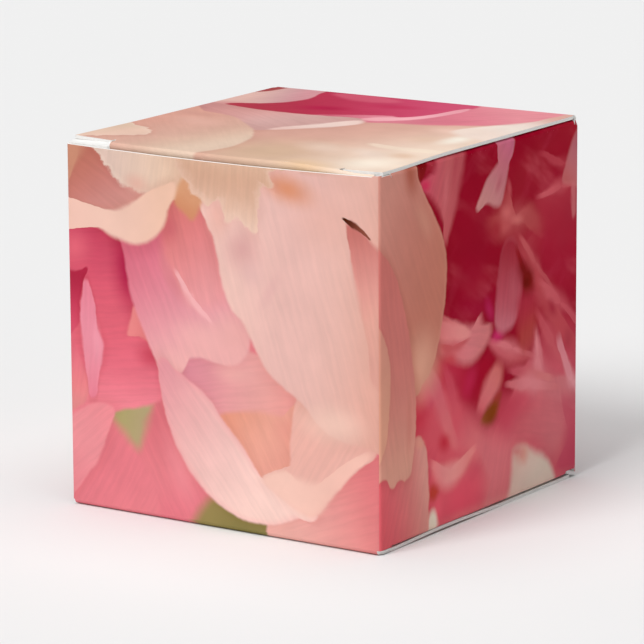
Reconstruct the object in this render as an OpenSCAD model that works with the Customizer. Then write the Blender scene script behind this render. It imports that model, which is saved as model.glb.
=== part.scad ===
/* [Box] */
// Outside width, depth and height of the closed box
box_side = 50.8; // [46:0.1:60]
// Thickness of the card
card_t = 0.45; // [0.35:0.05:0.5]

/* [Closures] */
// Length of each tuck flap, from its crease to its free edge
tuck_depth = 13; // [10:0.5:13]
// Angle that a tucked flap leans away from the wall it sits behind
tuck_lean = 13; // [12:1:15]
// Radius of a tuck flap's free corners
tuck_corner_r = 6; // [3:0.5:8]
// Length of the slit at each end of a tuck crease
slit_run = 6.8; // [5:0.1:8]
// How far a tuck flap's cut shoulder drops below its crease
shoulder_drop = 1.4; // [1:0.1:2]
// How far each dust flap reaches in from its side wall
dust_reach = 23.5; // [18:0.5:23.5]
// Angle of the cut that lets a dust flap fold ahead of its closure panel
dust_taper = 30; // [28:1:34]
// Radius of a dust flap's free corners
dust_corner_r = 3; // [1:0.5:4]

/* [Glue seam] */
// Width of the glue flap
glue_flap_w = 10; // [6:0.5:12]
// Thickness of the dried adhesive
glue_t = 0.1; // [0.05:0.05:0.15]

/* [Hidden] */
$fn = 48;

// Half sizes of the outside, the inside, and the card
half = box_side / 2;
inner_half = half - card_t;
half_t = card_t / 2;

// Clearances: between stacked flaps, at a crease's roll, at a closure panel's side edges,
// beside a tuck flap, and at a dust flap's front and back edges
stack_gap = 0.1;
crease_gap = 0.02;
side_gap = 0.2;
tuck_side_gap = 0.4;
dust_front_gap = 2.5;
dust_back_gap = 0.8;

// Closure panel: its crease to the wall, and its crease to the tuck flap
closure_crease_y = half - half_t;
closure_crease_z = box_side - half_t;
closure_half_w = half - side_gap;
tuck_crease_y = -(inner_half - stack_gap - half_t);
tuck_crease_half_w = closure_half_w - slit_run;

// Front edge of a closure panel: clear of the leaning tuck flap beside its crease
closure_front_y = tuck_crease_y + half_t * (1 + sin(tuck_lean)) / cos(tuck_lean) + crease_gap;
slit_y = tuck_crease_y - half_t;

// Tuck flap: its half width clears the glue flap inside the left wall
tuck_half_w = inner_half - glue_t - card_t - tuck_side_gap;

// Dust flaps: their crease, and their edges beside the tuck flap and the closure's crease
dust_crease_x = half - half_t;
dust_crease_z = box_side - card_t - stack_gap - half_t;
dust_front_y = -(inner_half - dust_front_gap);
dust_back_y = inner_half - dust_back_gap;

// Back end of a dust flap's free edge, brought forward by the tapered cut
dust_free_back_y = dust_back_y - tan(dust_taper) * dust_reach;

// Walls: where each one stops, below the tuck flap's bend or the dust flap's crease
tuck_bend_drop = 0.6;
wall_z_at_tuck = box_side - tuck_bend_drop;
wall_z_at_dust = dust_crease_z - half_t - crease_gap;

// Glue flap: its ends are cut back clear of the closures, at a slant
glue_end_gap = 3;
glue_end_slant = 2.5;

print_pink = "#e9a3a0";
print_peach = "#efc4b0";
card_white = "#f6f4f1";
glue_clear = "#e8e2cf";

// Stands the shape of a top closure on its head, for the reverse-tuck base
module at_base() {
    translate([0, 0, box_side])
        rotate([180, 0, 0])
            children();
}

// A flat wall in the XZ plane with its outer face at y = -half and rounded vertical folds
module wide_wall(z_low, z_high) {
    translate([0, 0, z_low])
        linear_extrude(z_high - z_low)
            intersection() {
                translate([-half, -half])
                    square([box_side, card_t]);
                union() {
                    translate([-inner_half, -half])
                        square([2 * inner_half, card_t]);
                    for (side = [-1, 1])
                        translate([side * inner_half, -inner_half])
                            circle(card_t);
                }
            }
}

// A side wall between the front and back walls; side is 1 for right and -1 for left
module side_wall(side) {
    z_low = box_side - wall_z_at_dust;
    translate([side > 0 ? inner_half : -half, -inner_half, z_low])
        cube([card_t, 2 * inner_half, wall_z_at_dust - z_low]);
}

// The roll of card along a crease that runs in X
module crease_x(half_length) {
    translate([-half_length, 0, 0])
        rotate([0, 90, 0])
            cylinder(h = 2 * half_length, r = half_t);
}

// Closure panel of the lid: a plate from the back wall's crease to the tuck crease, slit at both ends
module closure_panel() {
    translate([0, closure_crease_y, closure_crease_z])
        crease_x(closure_half_w);
    translate([-closure_half_w, closure_front_y, box_side - card_t])
        cube([2 * closure_half_w, closure_crease_y - closure_front_y, card_t]);
    for (side = [-1, 1])
        translate([
            side > 0 ? tuck_crease_half_w + side_gap : -closure_half_w,
            slit_y,
            box_side - card_t
        ])
            cube([slit_run - side_gap, closure_front_y - slit_y + card_t, card_t]);
}

// Outline of a tuck flap in its own plane: X across, Y down from its crease
module tuck_outline() {
    translate([-tuck_crease_half_w, 0])
        square([2 * tuck_crease_half_w, 2 * shoulder_drop]);
    translate([-tuck_half_w, shoulder_drop])
        square([2 * tuck_half_w, tuck_depth - tuck_corner_r - shoulder_drop]);
    translate([tuck_corner_r - tuck_half_w, shoulder_drop])
        square([2 * (tuck_half_w - tuck_corner_r), tuck_depth - shoulder_drop]);
    for (side = [-1, 1])
        translate([side * (tuck_half_w - tuck_corner_r), tuck_depth - tuck_corner_r])
            circle(tuck_corner_r);
}

// Tuck flap of the lid, hanging behind the front wall and leaning inwards
module tuck_flap() {
    translate([0, tuck_crease_y, closure_crease_z]) {
        crease_x(tuck_crease_half_w);
        rotate([-90 + tuck_lean, 0, 0])
            translate([0, 0, -half_t])
                linear_extrude(card_t)
                    tuck_outline();
    }
}

// Outline of the right dust flap seen from above: X inwards from its crease, Y along it
module dust_outline() {
    straight_reach = dust_reach - dust_corner_r;
    polygon([
        [0, dust_front_y],
        [0, dust_back_y],
        [-straight_reach, dust_back_y - tan(dust_taper) * straight_reach],
        [-straight_reach, dust_front_y]
    ]);
    hull()
        for (end_y = [dust_front_y + dust_corner_r, dust_free_back_y - dust_corner_r])
            translate([-straight_reach, end_y])
                circle(dust_corner_r);
}

// Dust flap of the lid; side is 1 for right and -1 for left
module dust_flap(side) {
    scale([side, 1, 1])
        translate([dust_crease_x, 0, dust_crease_z]) {
            translate([0, dust_front_y, 0])
                rotate([-90, 0, 0])
                    cylinder(h = dust_back_y - dust_front_y, r = half_t);
            translate([0, 0, -half_t])
                linear_extrude(card_t)
                    dust_outline();
        }
}

module front_panel() {
    color(print_pink)
        wide_wall(card_t + crease_gap, wall_z_at_tuck);
}

module back_panel() {
    color(print_pink)
        at_base()
            wide_wall(card_t + crease_gap, wall_z_at_tuck);
}

module right_panel() {
    color(print_pink)
        side_wall(1);
}

module left_panel() {
    color(print_pink)
        side_wall(-1);
}

// Glue flap: joined to the back wall, folded in against the left wall's inside
module glue_flap() {
    low = glue_end_gap;
    high = box_side - glue_end_gap;
    color(card_white)
        translate([-inner_half + glue_t, inner_half, 0])
            rotate([90, 0, 90])
                linear_extrude(card_t)
                    polygon([
                        [0, low],
                        [0, high],
                        [-glue_flap_w, high - glue_end_slant],
                        [-glue_flap_w, low + glue_end_slant]
                    ]);
}

// The dried adhesive between the glue flap and the left wall
module glue_line() {
    inset = 1;
    low = glue_end_gap + glue_end_slant;
    color(glue_clear)
        translate([-inner_half, inner_half - glue_flap_w + inset, low])
            cube([glue_t, glue_flap_w - 2 * inset, box_side - 2 * low]);
}

module lid_panel() {
    color(print_peach)
        closure_panel();
}

module lid_tuck_flap() {
    color(card_white)
        tuck_flap();
}

module lid_dust_flap_right() {
    color(card_white)
        dust_flap(1);
}

module lid_dust_flap_left() {
    color(card_white)
        dust_flap(-1);
}

module base_panel() {
    color(print_peach)
        at_base()
            closure_panel();
}

module base_tuck_flap() {
    color(card_white)
        at_base()
            tuck_flap();
}

module base_dust_flap_right() {
    color(card_white)
        at_base()
            dust_flap(1);
}

module base_dust_flap_left() {
    color(card_white)
        at_base()
            dust_flap(-1);
}

front_panel();
right_panel();
back_panel();
left_panel();
glue_flap();
glue_line();
lid_panel();
lid_tuck_flap();
lid_dust_flap_right();
lid_dust_flap_left();
base_panel();
base_tuck_flap();
base_dust_flap_right();
base_dust_flap_left();
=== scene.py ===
"""A small favor box of printed card, closed by tuck flaps, on a pale studio floor."""

import math

import bmesh
import bpy
from mathutils import Matrix, Vector


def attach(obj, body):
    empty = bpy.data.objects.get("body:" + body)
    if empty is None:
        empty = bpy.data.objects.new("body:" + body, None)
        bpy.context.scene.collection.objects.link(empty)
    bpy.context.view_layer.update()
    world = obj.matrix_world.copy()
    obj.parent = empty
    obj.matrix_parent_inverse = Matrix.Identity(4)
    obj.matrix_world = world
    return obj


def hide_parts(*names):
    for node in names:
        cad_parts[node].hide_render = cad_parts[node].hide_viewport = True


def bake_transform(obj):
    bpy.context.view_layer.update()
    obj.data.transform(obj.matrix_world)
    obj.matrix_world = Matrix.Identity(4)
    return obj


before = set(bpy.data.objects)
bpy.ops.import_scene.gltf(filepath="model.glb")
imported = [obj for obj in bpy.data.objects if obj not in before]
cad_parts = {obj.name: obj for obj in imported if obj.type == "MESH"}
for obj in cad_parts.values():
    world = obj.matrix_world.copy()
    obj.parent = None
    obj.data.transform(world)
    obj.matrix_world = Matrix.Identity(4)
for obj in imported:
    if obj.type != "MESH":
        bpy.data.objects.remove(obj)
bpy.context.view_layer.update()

# ------------------------------------------------------------------ sizes, in millimetres
MM = 0.001
SIDE = 50.8
HALF = SIDE / 2
CARD = 0.45
INNER = HALF - CARD
FOLD = 0.6  # outer radius of a wall's or a closure's fold
TUCK_FOLD = 0.48
TUCK_LEAN = 13
TUCK_DEPTH = 13
TUCK_FRONT = INNER - 0.1  # how far forward the tuck fold reaches
TUCK_HALF_W = 24.0
TUCK_CORNER = 6.0
TUCK_SHOULDER = 0.5  # where the tuck flap widens, beyond its fold
TUCK_FOLD_END = 24.1  # the tuck fold's right end, beyond the right slit
SLIT_RUN = 6.8
CLOSURE_HALF_W = HALF - 0.2
CREASE_HALF_W = CLOSURE_HALF_W - SLIT_RUN
SLIT_START = CREASE_HALF_W + 0.2
CREASE_BEYOND = 1.0  # length of wall and of panel that bends along with the lid's crease
CREASE_END = 24.9  # half width of a closure's crease, inside the side walls
DUST_TOP = SIDE - CARD - 0.1  # height of the dust flaps' upper face
DUST_REACH = 23.5
DUST_FRONT = -(INNER - 2.5)
DUST_BACK = INNER - 0.8
DUST_CORNER = 3.0
DUST_TAPER = 30
EAR_REACH = 7.0  # the left dust flap's front end, which shows through the left slit
EAR_LIFT = 0.3
SEAM_REACH = 9.4
WALL_LOW = FOLD
WALL_HIGH = SIDE - FOLD
DUST_CREASE_HIGH = DUST_TOP - FOLD
DUST_CREASE_LOW = SIDE - DUST_CREASE_HIGH
LEFT_RISE = 0.3  # how much taller than a true cube the box stands at its left side
RIGHT_RISE = 0.75
LID_SLIP = 4.5  # how far the lid's print slips forward for each unit of height
FRONT_BOW = 0.38  # how far the middle of the front's upper edge dips
LID_DIP = 0.3  # how far the middle of the lid's front edge dips
CORNER_PRESS = 0.36  # how far the lid's right front corner is pressed down
CORNER_CURL = 0.12  # how far the lid's left front corner curls up
BASE_SAG = 0.08  # how far the base hangs below the walls, onto the floor
BASE_ARCH = 0.25  # how far the base's right edge arches up off the floor


def toward(degrees):
    turn = math.radians(degrees)
    return Vector((math.cos(turn), math.sin(turn)))


# ------------------------------------------------------------------ nodes
def add(tree, kind, inputs, **settings):
    """A shader node with its inputs linked or set."""
    made = tree.nodes.new("ShaderNode" + kind)
    for name, value in settings.items():
        setattr(made, name, value)
    for key, value in inputs.items():
        socket = made.inputs[key]
        if isinstance(value, bpy.types.NodeSocket):
            tree.links.new(value, socket)
        else:
            socket.default_value = value
    return made


def noise(tree, place, scale, detail):
    made = add(tree, "TexNoise", {"Vector": place, "Scale": scale, "Detail": detail})
    return made.outputs


def emboss(tree, shader, height, strength, distance):
    bump = add(tree, "Bump", {"Height": height, "Strength": strength, "Distance": distance})
    tree.links.new(bump.outputs["Normal"], shader.inputs["Normal"])


def linear(colour, gain=1.0):
    """A hex sRGB colour as linear RGBA, brightened by gain."""
    parts = [int(colour[i : i + 2], 16) / 255 for i in (0, 2, 4)]
    light = [c / 12.92 if c <= 0.04045 else ((c + 0.055) / 1.055) ** 2.4 for c in parts]
    return [min(0.95, c * gain) for c in light] + [1.0]


def new_material(name):
    material = bpy.data.materials.new(name)
    material.use_nodes = True
    tree = material.node_tree
    return material, tree, tree.nodes["Principled BSDF"]


# ------------------------------------------------------------------ the print
# How brightly each face is lit in the studio: colours are noted as they look there
FRONT_LIGHT = 1.01
RIGHT_LIGHT = 0.64
LID_LIGHT = 1.12
PETAL_SHADE = (0.66, 0.36, 0.33, 1)
CURVE_STEPS = 72  # directions in which the reach of a petal's outline is noted


def smooth_outline(points, steps=8):
    """A closed smooth line through the points; a point given twice is a corner."""
    line = []
    count = len(points)
    for i in range(count):
        a, b, c, d = (Vector(points[(i + k) % count]) for k in (-1, 0, 1, 2))
        for step in range(steps):
            t = step / steps
            square = (2 * a - 5 * b + 4 * c - d) * t * t
            cube = (3 * b - a - 3 * c + d) * t ** 3
            line.append(0.5 * (2 * b + (c - a) * t + square + cube))
    return line


def reach_at(line, centre, degrees):
    """Distance from centre to the line in one direction."""
    ray = toward(degrees)
    best = 0.0
    for i in range(len(line)):
        a = line[i - 1] - centre
        b = line[i] - centre
        side_a = ray.x * a.y - ray.y * a.x
        side_b = ray.x * b.y - ray.y * b.x
        if (side_a > 0) != (side_b > 0):
            best = max(best, a.lerp(b, side_a / (side_a - side_b)).dot(ray))
    return best


class Print:
    """The artwork of one face: petals laid over one another. Places are percent of the face's side.

    The nodes of a petal pass only numbers and vectors on, never a colour as a vector. That lets the
    renderer work through a long chain of petals in order.
    """

    def __init__(self, name, corner, ground, light):
        self.material, self.tree, self.shader = new_material(name)
        self.gain = 1 / light
        sheet = add(self.tree, "Attribute", {}, attribute_name="sheet").outputs["Vector"]
        self.face = self.vector("ADD", sheet, (-corner[0], -corner[1], 0))
        swayed = self.shaken(self.face, self.face, scale=0.045, detail=1, amount=1.8)
        rough = self.shaken(swayed, swayed, scale=0.3, detail=3, amount=0.9)
        self.point = add(self.tree, "Mapping", {"Vector": rough}).outputs["Vector"]
        self.still = self.vector("ADD", self.point, (0, 0, 0))
        self.frill = self.shaken(self.still, self.point, scale=0.42, detail=4, amount=3.4)
        self.across = {place: self.dot(place, (1, 0, 0)) for place in (self.still, self.frill)}
        self.up = {place: self.dot(place, (0, 1, 0)) for place in (self.still, self.frill)}
        self.streaks = {}
        self.blur = 1.0
        self.colour = linear(ground, self.gain)

    def number(self, operation, *values):
        made = add(self.tree, "Math", dict(enumerate(values)), operation=operation)
        return made.outputs["Value"]

    def vector(self, operation, *values):
        made = add(self.tree, "VectorMath", dict(enumerate(values)), operation=operation)
        return made.outputs["Value" if operation in ("DOT_PRODUCT", "DISTANCE") else "Vector"]

    def dot(self, place, direction):
        return self.vector("DOT_PRODUCT", place, direction)

    def shaken(self, place, source, scale, detail, amount):
        """The place, moved about by noise that is read at the source."""
        cloud = noise(self.tree, source, scale, detail)["Color"]
        parts = add(self.tree, "SeparateColor", {"Color": cloud}).outputs
        push = add(self.tree, "CombineXYZ", {"X": parts[0], "Y": parts[1], "Z": 0.5})
        moved = self.vector("MULTIPLY_ADD", push.outputs["Vector"], (amount, amount, 0), place)
        return self.vector("SUBTRACT", moved, (amount / 2, amount / 2, 0))

    def grain(self, angle, width, length, detail):
        """Noise drawn out along an angle."""
        turn = (0, 0, math.radians(angle))
        inputs = {"Vector": self.point, "Rotation": turn, "Scale": (length, width, 1.0)}
        turned = add(self.tree, "Mapping", inputs, vector_type="TEXTURE")
        return noise(self.tree, turned.outputs["Vector"], 1.0, detail)["Fac"]

    def veined(self, paint, angle, depth):
        """Paint with fine uneven streaks that run at an angle, like the veins of a petal."""
        if angle not in self.streaks:
            self.streaks[angle] = self.grain(angle, width=1.3, length=18, detail=4)
        share = self.fade(self.streaks[angle], 0.25, 0.75)
        left = 1 - 2 * depth
        return self.mix(share, paint, (left, left, left, 1), "MULTIPLY")

    def dapple(self, colour, width, low, high, strength, slant):
        """Out-of-focus flecks of a colour, drawn out along a slant."""
        share = self.fade(self.grain(slant, width, 2.4 * width, detail=3), low, high, strength)
        self.colour = self.mix(share, self.colour, linear(colour, self.gain))

    def ramp(self, place, run, colours):
        """Colours from the run's first place to its last."""
        start, end = Vector(run[:2]), Vector(run[2:])
        along = (end - start) / (end - start).length_squared
        share = self.number("SUBTRACT", self.dot(place, (along.x, along.y, 0)), start.dot(along))
        ramp = add(self.tree, "ValToRGB", {"Fac": share})
        ramp.color_ramp.interpolation = "EASE" if len(colours) == 2 else "B_SPLINE"
        stops = ramp.color_ramp.elements
        for i in range(1, len(colours) - 1):
            stops.new(i / (len(colours) - 1))
        for stop, colour in zip(stops, colours):
            stop.color = linear(colour, self.gain)
        return ramp.outputs["Color"]

    def mix(self, share, under, over, blend="MIX"):
        """Two colours mixed; the node's colour sockets are its inputs 6 and 7 and its output 2."""
        inputs = {0: share, 6: under, 7: over}
        return add(self.tree, "Mix", inputs, data_type="RGBA", blend_type=blend).outputs[2]

    def fade(self, value, low, high, top=1.0):
        """0 below low, rising smoothly to top at high."""
        inputs = {0: value, 1: low, 2: high, 3: 0.0, 4: top}
        return add(self.tree, "MapRange", inputs, interpolation_type="SMOOTHSTEP").outputs[0]

    def petal(
        self, outline, colours, run=None, centre=None, soft=0.7, strength=1.0, frill=False,
        rim=None, shade=None, veins=None, vein_depth=0.035,
    ):
        """A petal inside the outline, with its shade on what is under it.

        Colours are hex values with spaces between, from the run's first place to its last. A rim is
        a colour, a width and a strength; a shade is a strength and a width; veins are an angle.
        """
        line = smooth_outline(outline)
        middle = Vector(centre) if centre else sum(line, Vector((0, 0))) / len(line)
        place = self.frill if frill else self.still
        sideways = self.number("SUBTRACT", self.across[place], middle.x)
        upwards = self.number("SUBTRACT", self.up[place], middle.y)
        angle = self.number("ARCTAN2", upwards, sideways)
        turn = self.number("MULTIPLY_ADD", angle, 1 / math.tau, 0.5)
        reach = add(self.tree, "FloatCurve", {"Value": turn})
        reach.mapping.use_clip = False
        points = reach.mapping.curves[0].points
        for i in range(1, CURVE_STEPS):
            points.new(i / CURVE_STEPS, 0.0)
        for i, point in enumerate(points):
            share = i / CURVE_STEPS
            point.location = (share, reach_at(line, middle, 360 * share - 180))
        reach.mapping.update()
        away = self.vector("DISTANCE", place, (middle.x, middle.y, 0))
        inside = self.number("SUBTRACT", reach.outputs["Value"], away)
        shades = colours.split()
        paint = self.ramp(place, run, shades) if run else linear(shades[0], self.gain)
        if veins is not None:
            paint = self.veined(paint, veins, vein_depth)
        if rim:
            rim_colour, width, amount = rim
            edge = self.fade(inside, 2 * width, -width, 0.8 * amount)
            paint = self.mix(edge, paint, linear(rim_colour, self.gain))
        under = self.colour
        if shade:
            amount, width = shade
            dark = self.fade(inside, -2 * width, 1.0, 0.6 * amount)
            under = self.mix(dark, under, PETAL_SHADE, "MULTIPLY")
        cover = self.fade(inside, -soft * self.blur, soft * self.blur, strength)
        self.colour = self.mix(cover, under, paint)

    def tint(self, centre, size, colour, strength=0.6, turn=0):
        """A soft patch of colour on whatever has been laid so far."""
        ways = [toward(turn) / size[0], toward(turn + 90) / size[1]]
        spot = [self.dot(self.still, (way.x, way.y, 0)) for way in ways]
        place = add(self.tree, "CombineXYZ", {"X": spot[0], "Y": spot[1]}).outputs["Vector"]
        middle = [Vector(centre).dot(way) for way in ways]
        away = self.vector("DISTANCE", place, (middle[0], middle[1], 0))
        share = self.fade(away, 1.0, 0.0, strength)
        self.colour = self.mix(share, self.colour, linear(colour, self.gain))

    def finish(self):
        """Puts the artwork on coated card with a fine tooth."""
        mottle = noise(self.tree, self.face, 0.09, 5)["Fac"]
        share = add(self.tree, "MapRange", {0: mottle, 1: 0.25, 2: 0.75, 3: 0.95, 4: 1.05})
        inputs = {0: self.colour, "Scale": share.outputs[0]}
        inked = add(self.tree, "VectorMath", inputs, operation="SCALE")
        self.tree.links.new(inked.outputs["Vector"], self.shader.inputs["Base Color"])
        tooth = noise(self.tree, self.face, 6.0, 2)["Fac"]
        emboss(self.tree, self.shader, tooth, strength=0.06, distance=0.00002)
        rough = add(self.tree, "MapRange", {0: tooth, 3: 0.42, 4: 0.5})
        self.tree.links.new(rough.outputs[0], self.shader.inputs["Roughness"])
        self.shader.inputs["Specular IOR Level"].default_value = 0.01
        return self.material


def front_print():
    art = Print("print_front", (0, 0), "e67c87", FRONT_LIGHT)
    # Pink petals low on the left, with green showing between them
    art.petal([(14, 29), (22, 19), (30, 9), (39, -6), (0, -6), (7, 12)],
        "e77c86 e57c87 eb8890", (12, 26, 24, 0), veins=60)
    art.petal([(20, 22), (25, 33), (34, 38), (46, 16), (54, -6), (33, -6), (28, 9)],
        "db727b e07982 e7848c e77e8a", (27, 28, 36, 4), soft=1.6, veins=-60)
    art.tint((36, 15), (6, 16), "ee949a", 0.5, 20)
    art.petal([(13.6, 27), (20, 31), (27, 33), (25.4, 26), (23, 18.6), (18, 22)],
        "aca06c b2a078", (15, 27, 25, 25), soft=2.6)
    art.petal([(41, -6), (45, 7), (52, 7), (60, 6), (68, 5), (68, -6)],
        "978753 8a7e4b", (45, 0, 56, 0), soft=2.4)
    art.petal([(65, -6), (65, -6), (65, 5), (75, 9), (84, 16), (90, 22), (106, 25), (106, -6)],
        "efb4a9 ebaaa3 e79390 de757a", (68, 2, 99, 17), soft=0.5, veins=20)
    # Deep rose petal at the left
    art.petal([(-6, 82), (10, 82), (20, 78), (22, 70), (24, 60), (24, 52), (31, 46), (32, 36),
        (28, 31.5), (18, 28.5), (12, 26.5), (5, 26), (-6, 26)],
        "ca4660 da5a70 e46878 e66b7e f48e99", (13, 76, 16, 28), soft=0.8, veins=8,
        vein_depth=0.045)
    art.tint((20, 67), (8, 17), "b01f49", 1.0, 6)
    art.tint((2, 71), (8, 7), "e56c7b", 0.7)
    art.tint((27, 44.5), (7, 5), "c84459", 0.8)
    art.petal([(-6, 65), (2, 64.6), (6.6, 66), (5, 62), (3.6, 56), (3, 50), (-6, 44)],
        "aa2540 c43955 dc5a71", (3, 64, 1, 47), soft=0.5)
    art.petal([(-6, 46), (1, 44.5), (4, 40), (6.3, 35), (5.6, 30), (3, 27.5), (-6, 24)],
        "df6678 ea7c88 ec8287 e69090", (0, 44, 2, 28), veins=80)
    art.petal([(6.3, 63), (8.5, 57), (9.3, 50), (11.2, 45), (9.6, 37), (8, 29.5), (6.4, 33),
        (4.6, 42), (3.6, 51), (4.3, 58)],
        "e67f92 ed93a4 ef95a4 ea8194", (6, 62, 8, 31), shade=(0.5, 1.6), veins=85)
    art.tint((9, 46), (2, 8), "f0a0ae", 0.5)
    art.petal([(14.6, 28), (12, 20), (7, 11), (-6, -2), (-6, 20), (1, 25), (8, 29)],
        "ef8f96 ef989d e98a92", (12, 27, 0, 8), shade=(0.3, 2.5), veins=40, vein_depth=0.045)
    # Middle petals
    art.petal([(19.6, 49), (20.4, 53), (22, 57.5), (27, 53), (31, 44), (29, 45), (26.5, 48),
        (24, 49.2)],
        "e88887 df7a7c", (21, 54, 28, 47), shade=(0.3, 1.5))
    art.petal([(34, 39), (38, 48), (50, 49), (60, 49), (71, 44), (77, 38), (75, 30), (60, 32),
        (48, 28), (42, 34)],
        "da8a98 e79a9e ebaaa4 eb9c95", (39, 41, 72, 38), veins=10)
    art.tint((54, 43), (9, 5), "eeb0aa", 0.6)
    art.petal([(47, 28), (50, 31), (60, 33.4), (70, 33.6), (75, 37), (75, 28), (74, 18), (64, 13),
        (55, 22)],
        "e4957b e9a18c eba795 e8a090", (50, 31, 69, 20), soft=1.4, veins=-60)
    art.tint((70, 30), (6, 6), "e3988a", 0.6)
    art.petal([(17.5, 78), (18.6, 70), (21, 59), (25.5, 50), (29.5, 42), (33, 40), (37, 41),
        (41, 46), (47, 45.4), (54, 45), (59, 50), (59, 60), (55, 68), (50, 80), (45, 90),
        (34, 90), (29, 80)],
        "d96c82 df7a8b e68f9c eaa2a8 efb3af", (23, 76, 40, 45), centre=(38, 62), shade=(0.3, 2.0),
        veins=-65, vein_depth=0.04)
    art.tint((54, 52), (9, 9), "ebaca8", 0.8)
    art.petal([(31.5, 74), (33, 88), (45, 90), (50, 79), (53, 68), (50, 61), (42, 59), (37, 62),
        (33, 67)],
        "d67672 e38685 e89494 eb9fa0", (37, 83, 48, 63), soft=2.6, strength=0.9, veins=-75,
        vein_depth=0.045)
    art.tint((34.5, 66), (2.6, 9), "d8808a", 0.8, 28)
    art.petal([(35.4, 69), (38, 66.2), (42, 60.6), (48, 55.5), (42.6, 58), (38.4, 63)],
        "f5b9bb", soft=1.5, strength=0.7)
    art.tint((45, 51), (14, 6), "f0b2af", 0.7, -10)
    art.tint((34, 79), (4, 6), "cf6a72", 0.7)
    # Pale curled petal across the bottom
    art.petal([(29.6, 44), (30, 35), (33, 25), (38, 16), (45, 9), (52, 5.2), (60, 3.4), (68, 3.9),
        (74, 6.6), (81, 8.2), (70, 12.4), (63.5, 15.5), (57, 23), (51, 29.5), (45.5, 36),
        (38, 40.5), (34, 42)],
        "e697a0 ecacac f1bfba f7cdc5 fcd6cb", (30, 41, 63, 7), centre=(47, 20),
        rim=("ee9a9c", 1.4, 0.5), shade=(0.3, 2.0), veins=-52, vein_depth=0.04)
    art.petal([(63.4, 15.2), (68, 18), (72, 20), (72.4, 28), (75, 39), (84, 36), (98, 36),
        (99, 27), (95.5, 23.5), (90, 18.5), (84.5, 12.8), (80, 8), (74, 9)],
        "e9b2a4 ebb2a6 efbaad", (80, 36, 78, 10), shade=(0.25, 2.0), veins=60)
    art.petal([(63.4, 15.2), (70, 18.6), (74, 17), (81, 16.6), (88, 18.4), (92, 21.5), (97, 27),
        (90, 18.5), (84.5, 12.8), (80, 8), (74, 8.6)],
        "f4cabb f2c2b3", (70, 14, 90, 18), centre=(77, 13), soft=1.6, strength=0.8)
    # Large pale petal at the right
    art.petal([(42, 92), (47.6, 78), (50, 68), (53, 60.5), (57.5, 56), (61, 50), (65, 44.5),
        (70, 41), (76.5, 37), (82, 31.5), (88, 29), (96, 28.6), (108, 32), (108, 108), (70, 108),
        (50, 104)],
        "f1c6bb e9bab2 eabbb2 e7b7ab e0a595", (53, 60, 101, 54), centre=(78, 66),
        shade=(0.3, 2.5), veins=-72, vein_depth=0.03)
    art.tint((86, 33), (14, 8), "f0c8b8", 0.8)
    art.tint((57, 76), (9, 9), "d69f9c", 0.8, 20)
    art.tint((60, 70), (6, 6), "e2b4b0", 0.6)
    art.tint((49, 84), (5, 9), "e9b0a2", 0.7)
    art.tint((84, 86), (16, 14), "e5b0a3", 0.6)
    art.tint((72, 93), (12, 6), "d98f6c", 0.95, -14)
    art.tint((92, 97), (10, 6), "e2b0a3", 0.7)
    art.tint((66, 66), (2.6, 9), "e0aeaa", 0.6, -32)
    art.petal([(90, 86), (94, 84.6), (98, 81.5), (108, 72), (108, 44), (98, 46), (96.5, 55),
        (94, 66), (91.4, 77)],
        "c46e66 d98b84 e49e94 e1a697", (92, 85, 98, 60), soft=1.2, veins=-78)
    art.petal([(88.6, 87.2), (91, 86.8), (94, 85.4), (97.5, 82.4), (94, 84), (91, 85.2)],
        "4a1d0c 8a4a3c", (89, 87, 96, 83), soft=0.4)
    # Brownish petal, cream band and frill along the top
    art.petal([(-6, 108), (12, 108), (19, 94), (30, 92), (24, 82), (8, 79), (-6, 80)],
        "bd7160 c4786c cf8982 e0a59a", (8, 99, 19, 82), veins=-30)
    art.petal([(-2, 84), (2, 92), (7, 101), (12, 108), (3, 108), (-3, 96)],
        "cf967a", soft=2.2, strength=0.7)
    art.petal([(7, 108), (8.4, 100), (10, 97), (13.4, 94), (17.6, 89.5), (22, 88.4), (30, 87),
        (42, 88), (48, 96), (50, 108)],
        "dfc1b4 e6c8b6 ecc9b1 e9c7ab", (13, 96, 42, 96), shade=(0.3, 2.0), frill=True,
        rim=("f1dccb", 1.2, 0.7), veins=80, vein_depth=0.04)
    art.tint((23, 90), (6, 4), "dfac9c", 0.8)
    art.petal([(-6, 84.4), (5, 83), (11, 81.8), (18, 82.8), (25, 87), (30, 90), (37, 90.5),
        (33.5, 84), (32, 79.5), (28.5, 76), (25, 74.2), (20, 73.8), (14, 75.3), (8, 77),
        (-6, 75.4)],
        "f0c2b3 f1c8b7 edc2b0 ecc0a8", (2, 80, 33, 86), centre=(20, 79.5), shade=(0.5, 3.0),
        soft=1.0)
    art.petal([(35.6, 87), (39, 93), (46, 92), (44, 86), (41.4, 82), (38, 84)],
        "cf8c68 dba27c", (38, 84, 41, 91), soft=1.1)
    art.petal([(36, 108), (40, 91), (43.4, 88.5), (46, 86.8), (50, 88), (52, 83.4), (55, 84.6),
        (58, 82), (61.4, 81), (62, 85), (63, 91), (65.6, 95), (67.8, 92), (66.5, 97), (72, 97.2),
        (80, 99.4), (96, 102), (96, 108)],
        "edc8b4 e0b49c d6a78d e6c1a7", (55, 83, 56, 101), centre=(57, 97),
        rim=("f0cfbe", 1.6, 0.7), shade=(0.3, 2.5), frill=True, veins=84, vein_depth=0.045)
    art.tint((80, 99), (10, 2.4), "cf9a82", 0.8)
    return art.finish()


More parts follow.
